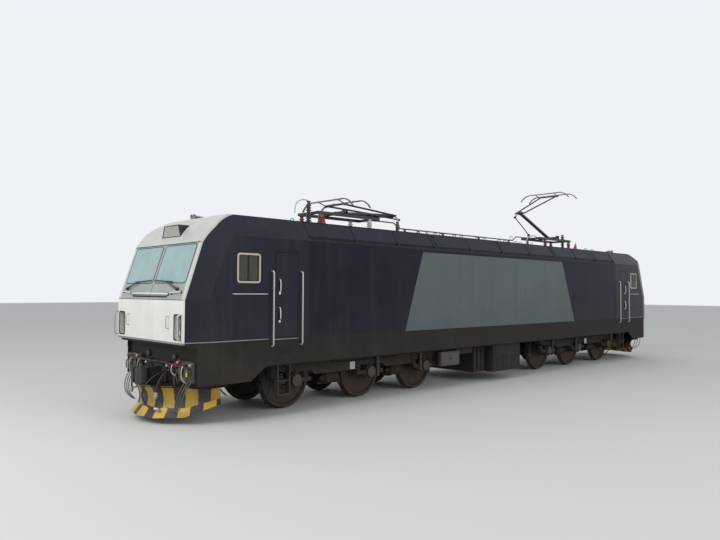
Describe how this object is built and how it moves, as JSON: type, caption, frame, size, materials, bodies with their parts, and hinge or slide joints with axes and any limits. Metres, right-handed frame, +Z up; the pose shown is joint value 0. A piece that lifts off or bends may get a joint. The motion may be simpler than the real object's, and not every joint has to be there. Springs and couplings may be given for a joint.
{
  "type": "electric locomotive",
  "caption": "Full-size electric locomotive with a cab at each end, six-wheel bogies, single-arm pantographs, opening cab doors, knuckle couplers and striped pilots.",
  "frame": {"origin": "under the middle of the locomotive, at the lowest point of the wheel flanges; the top of the rail is 28 mm higher", "axes": "+X to the front cab (the lowered pantograph's end), +Y to the left side, +Z up"},
  "size_m": [20.846, 3.284, 6.157],
  "materials": {
    "body_blue": "deep navy gloss paint, slightly dusty",
    "frame_green": "dark grey-green paint, dusty",
    "roof_blue": "dark navy paint, dusty",
    "surround_silver": "light silver-grey paint",
    "nose_white": "white gloss paint",
    "glass": "tinted laminated glass",
    "lamp_glass": "clear lamp lenses in dark housings",
    "cab_inside": "grey cab lining",
    "seat_cloth": "dark woven cloth",
    "equipment": "grey cabinet paint",
    "underfloor": "dark grey paint, dusty",
    "bogie_paint": "dark grey paint under brown brake dust",
    "spring_steel": "black coil springs",
    "motor_iron": "painted castings",
    "wheel_steel": "rolled wheel steel, bright treads",
    "coupler_iron": "bare cast steel, greasy",
    "pilot_stripes": "yellow with black stripes",
    "handrail_steel": "stainless tube",
    "black_paint": "satin black",
    "insulator": "glazed brown",
    "arm_paint": "weathered dark paint",
    "contact_metal": "worn alloy and carbon",
    "hose_rubber": "black hose"
  },
  "bodies": {
    "car_body": {"underframe": "frame_green", "cab_shell_front": "body_blue", "cab_shell_rear": "body_blue", "windscreen_surround_front": "surround_silver", "windscreen_surround_rear": "surround_silver", "nose_panels": "nose_white", "side_wall_left": "body_blue", "side_wall_right": "body_blue", "roof_hatch_front": "roof_blue", "roof_hatch_middle": "roof_blue", "roof_hatch_rear": "roof_blue", "windscreens": "glass", "cab_side_windows": "glass", "cab_rear_walls": "cab_inside", "driver_desks": "cab_inside", "driver_seats": "seat_cloth", "machine_room_equipment": "equipment", "transformer": "underfloor", "underfloor_equipment": "underfloor", "couplers": "coupler_iron", "pilots": "pilot_stripes", "steps": "black_paint", "handrails": "handrail_steel", "headlamps": "lamp_glass", "marker_lamps": "lamp_glass", "wipers": "black_paint", "pantograph_bases": "arm_paint", "roof_insulators": "insulator", "high_voltage_bus": "contact_metal"},
    "bogie_front": {"bogie_frame_front": "bogie_paint", "axle_boxes_front": "bogie_paint", "springs_front": "spring_steel", "traction_motors_front": "motor_iron"},
    "pantograph_front_lower_arm": {"pantograph_front_lower_arm": "arm_paint"},
    "pantograph_front_upper_arm": {"pantograph_front_upper_arm": "arm_paint"},
    "pantograph_front_head": {"pantograph_front_head": "contact_metal"},
    "pantograph_front_thrust_rod": {"pantograph_front_thrust_rod": "arm_paint"},
    "door_front_left": {"door_front_left": "body_blue"},
    "door_front_right": {"door_front_right": "body_blue"},
    "bogie_rear": {"bogie_frame_rear": "bogie_paint", "axle_boxes_rear": "bogie_paint", "springs_rear": "spring_steel", "traction_motors_rear": "motor_iron"},
    "pantograph_rear_lower_arm": {"pantograph_rear_lower_arm": "arm_paint"},
    "pantograph_rear_upper_arm": {"pantograph_rear_upper_arm": "arm_paint"},
    "pantograph_rear_head": {"pantograph_rear_head": "contact_metal"},
    "pantograph_rear_thrust_rod": {"pantograph_rear_thrust_rod": "arm_paint"},
    "door_rear_left": {"door_rear_left": "body_blue"},
    "door_rear_right": {"door_rear_right": "body_blue"},
    "wheelset_1": {"wheelset_1": "wheel_steel"},
    "wheelset_2": {"wheelset_2": "wheel_steel"},
    "wheelset_3": {"wheelset_3": "wheel_steel"},
    "wheelset_4": {"wheelset_4": "wheel_steel"},
    "wheelset_5": {"wheelset_5": "wheel_steel"},
    "wheelset_6": {"wheelset_6": "wheel_steel"}
  },
  "joints": [
    {"name": "bogie_front_turn", "type": "hinge", "parent": "car_body", "child": "bogie_front", "pos_m": [5.225, 0, 1], "axis": [0, 0, 1], "range_deg": [-3, 3]},
    {"name": "bogie_rear_turn", "type": "hinge", "parent": "car_body", "child": "bogie_rear", "pos_m": [-5.225, 0, 1], "axis": [0, 0, 1], "range_deg": [-3, 3]},
    {"name": "wheelset_1_turn", "type": "hinge", "parent": "bogie_front", "child": "wheelset_1", "pos_m": [7.35, 0, 0.653], "axis": [0, 1, 0], "continuous": true},
    {"name": "wheelset_2_turn", "type": "hinge", "parent": "bogie_front", "child": "wheelset_2", "pos_m": [5.1, 0, 0.653], "axis": [0, 1, 0], "continuous": true},
    {"name": "wheelset_3_turn", "type": "hinge", "parent": "bogie_front", "child": "wheelset_3", "pos_m": [3.1, 0, 0.653], "axis": [0, 1, 0], "continuous": true},
    {"name": "wheelset_4_turn", "type": "hinge", "parent": "bogie_rear", "child": "wheelset_4", "pos_m": [-3.1, 0, 0.653], "axis": [0, 1, 0], "continuous": true},
    {"name": "wheelset_5_turn", "type": "hinge", "parent": "bogie_rear", "child": "wheelset_5", "pos_m": [-5.1, 0, 0.653], "axis": [0, 1, 0], "continuous": true},
    {"name": "wheelset_6_turn", "type": "hinge", "parent": "bogie_rear", "child": "wheelset_6", "pos_m": [-7.35, 0, 0.653], "axis": [0, 1, 0], "continuous": true},
    {"name": "door_front_left_swing", "type": "hinge", "parent": "car_body", "child": "door_front_left", "pos_m": [7.598, 1.476, 2.428], "axis": [0, 0, -1], "range_deg": [0, 90]},
    {"name": "door_front_right_swing", "type": "hinge", "parent": "car_body", "child": "door_front_right", "pos_m": [7.598, -1.476, 2.428], "axis": [0, 0, 1], "range_deg": [0, 90]},
    {"name": "door_rear_right_swing", "type": "hinge", "parent": "car_body", "child": "door_rear_right", "pos_m": [-7.598, -1.476, 2.428], "axis": [0, 0, -1], "range_deg": [0, 90]},
    {"name": "door_rear_left_swing", "type": "hinge", "parent": "car_body", "child": "door_rear_left", "pos_m": [-7.598, 1.476, 2.428], "axis": [0, 0, 1], "range_deg": [0, 90]},
    {"name": "pantograph_front_raise", "type": "hinge", "parent": "car_body", "child": "pantograph_front_lower_arm", "pos_m": [5.2, 0, 4.528], "axis": [0, 1, 0], "range_deg": [0, 35]},
    {"name": "pantograph_front_knee", "type": "hinge", "parent": "pantograph_front_lower_arm", "child": "pantograph_front_upper_arm", "pos_m": [3.17278, 0, 4.63424], "axis": [0, 1, 0], "range_deg": [-70.2, 0.2]},
    {"name": "pantograph_front_head_level", "type": "hinge", "parent": "pantograph_front_upper_arm", "child": "pantograph_front_head", "pos_m": [5.2, 0, 4.74048], "axis": [0, 1, 0], "range_deg": [-0.2, 35.2]},
    {"name": "pantograph_front_rod_turn", "type": "hinge", "parent": "car_body", "child": "pantograph_front_thrust_rod", "pos_m": [4.05, 0, 4.588], "axis": [0, 1, 0], "range_deg": [-0.2, 64.95]},
    {"name": "pantograph_rear_raise", "type": "hinge", "parent": "car_body", "child": "pantograph_rear_lower_arm", "pos_m": [-5.2, 0, 4.528], "axis": [0, -1, 0], "range_deg": [-19, 16]},
    {"name": "pantograph_rear_knee", "type": "hinge", "parent": "pantograph_rear_lower_arm", "child": "pantograph_rear_upper_arm", "pos_m": [-3.31782, 0, 5.28845], "axis": [0, -1, 0], "range_deg": [-32.2, 38.2]},
    {"name": "pantograph_rear_head_level", "type": "hinge", "parent": "pantograph_rear_upper_arm", "child": "pantograph_rear_head", "pos_m": [-5.2, 0, 6.0489], "axis": [0, -1, 0], "range_deg": [-19.2, 16.2]},
    {"name": "pantograph_rear_rod_turn", "type": "hinge", "parent": "car_body", "child": "pantograph_rear_thrust_rod", "pos_m": [-4.05, 0, 4.588], "axis": [0, -1, 0], "range_deg": [-35.35, 29.8]}
  ],
  "couplings": [
    {"joint": "pantograph_front_knee", "follows": "pantograph_front_raise", "ratio": -2},
    {"joint": "pantograph_front_head_level", "follows": "pantograph_front_raise", "ratio": 1},
    {"joint": "pantograph_front_rod_turn", "follows": "pantograph_front_raise", "ratio": 1.85},
    {"joint": "pantograph_rear_knee", "follows": "pantograph_rear_raise", "ratio": -2},
    {"joint": "pantograph_rear_head_level", "follows": "pantograph_rear_raise", "ratio": 1},
    {"joint": "pantograph_rear_rod_turn", "follows": "pantograph_rear_raise", "ratio": 1.85}
  ]
}
